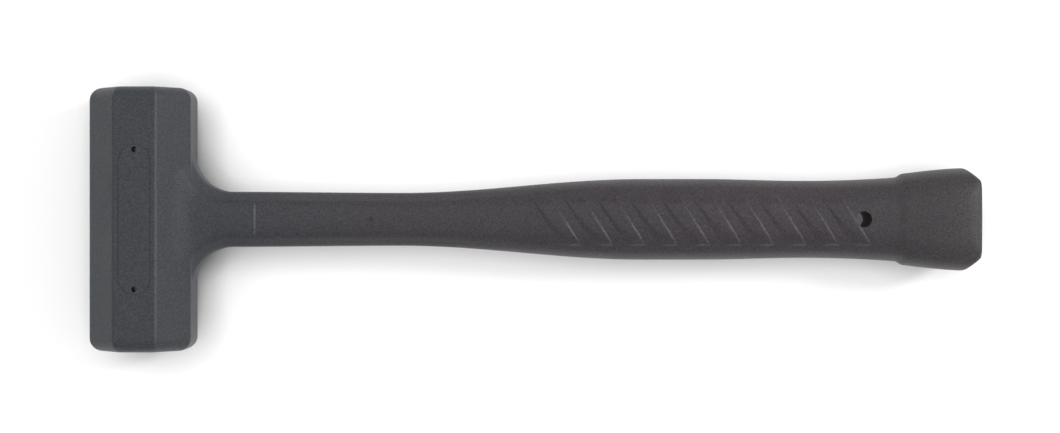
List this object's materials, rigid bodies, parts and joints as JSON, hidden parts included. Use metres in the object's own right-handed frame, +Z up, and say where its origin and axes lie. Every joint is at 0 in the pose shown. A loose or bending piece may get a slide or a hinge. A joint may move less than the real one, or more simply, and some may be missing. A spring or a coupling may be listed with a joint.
{
  "type": "dead blow mallet",
  "caption": "Dead blow mallet: octagonal urethane head with a sliding shot charge inside, slim neck, slant-ribbed grip and flared butt with a hanging hole.",
  "frame": {"origin": "bottom centre of the whole mallet as it lies on its side", "axes": "+X from the head to the butt, +Y along the head from one striking face to the other, +Z up off the surface it lies on"},
  "size_m": [0.3128, 0.0926, 0.0355],
  "materials": {
    "urethane": "satin matte cast urethane with fine grain",
    "canister_steel": "drawn mill steel",
    "rod_steel": "cold drawn bar",
    "weld_steel": "weld bead",
    "shot_steel": "dull steel shot"
  },
  "bodies": {
    "mallet": {"urethane_cover": "urethane", "canister_tube": "canister_steel", "canister_cap_far": "canister_steel", "canister_cap_near": "canister_steel", "handle_rod": "rod_steel", "rod_weld": "weld_steel"},
    "shot_charge": {"shot_layer_01": "shot_steel", "shot_layer_02": "shot_steel", "shot_layer_03": "shot_steel", "shot_layer_04": "shot_steel", "shot_layer_05": "shot_steel", "shot_layer_06": "shot_steel", "shot_layer_07": "shot_steel", "shot_layer_08": "shot_steel", "shot_layer_09": "shot_steel", "shot_layer_10": "shot_steel", "shot_layer_11": "shot_steel", "shot_layer_12": "shot_steel", "shot_layer_13": "shot_steel", "shot_layer_14": "shot_steel"}
  },
  "joints": [
    {"name": "shot_slide", "type": "slide", "parent": "mallet", "child": "shot_charge", "axis": [0, 1, 0], "range_m": [-0.0092, 0.0092]}
  ]
}
